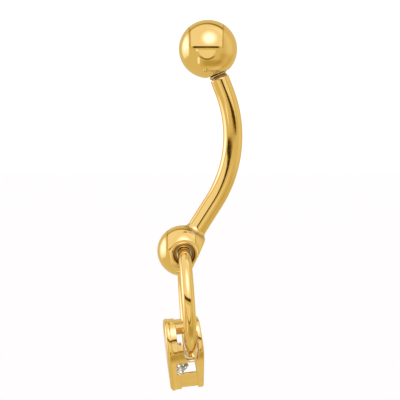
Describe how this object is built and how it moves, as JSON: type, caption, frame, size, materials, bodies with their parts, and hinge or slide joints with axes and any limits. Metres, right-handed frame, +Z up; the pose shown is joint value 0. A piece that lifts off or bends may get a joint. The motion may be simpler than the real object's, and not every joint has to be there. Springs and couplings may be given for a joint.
{
  "type": "navel ring",
  "caption": "Navel ring: a curved bar with a screw ball on top and a drilled ball below, from which a wire ring carries a heart-shaped openwork setting with a clear stone.",
  "frame": {"origin": "on the bar's axis at the crest of its bend, where the piercing holds it", "axes": "+Z up along the bar at the origin, -Y to the wearer's front, X across the wearer"},
  "size_m": [0.0098, 0.0073, 0.0317],
  "materials": {
    "gold": "polished",
    "stone": "cut and polished"
  },
  "bodies": {
    "bar": {"curved_bar": "gold"},
    "ball": {"screw_ball": "gold"},
    "ring": {"hanging_ring": "gold"},
    "heart": {"heart_setting": "gold", "heart_stone": "stone"}
  },
  "joints": [
    {"name": "ball_unscrew", "type": "slide", "parent": "bar", "child": "ball", "axis": [0, -0.3616, 0.9323], "range_m": [0, 0.0035]},
    {"name": "ring_swing", "type": "hinge", "parent": "bar", "child": "ring", "pos_m": [0, -0.0042, -0.01006], "axis": [1, 0, 0], "range_deg": [-180, 120]},
    {"name": "heart_sway", "type": "hinge", "parent": "ring", "child": "heart", "pos_m": [0, -0.00393, -0.01415], "axis": [0, 0.9978, 0.0663], "range_deg": [-88, 88]}
  ]
}
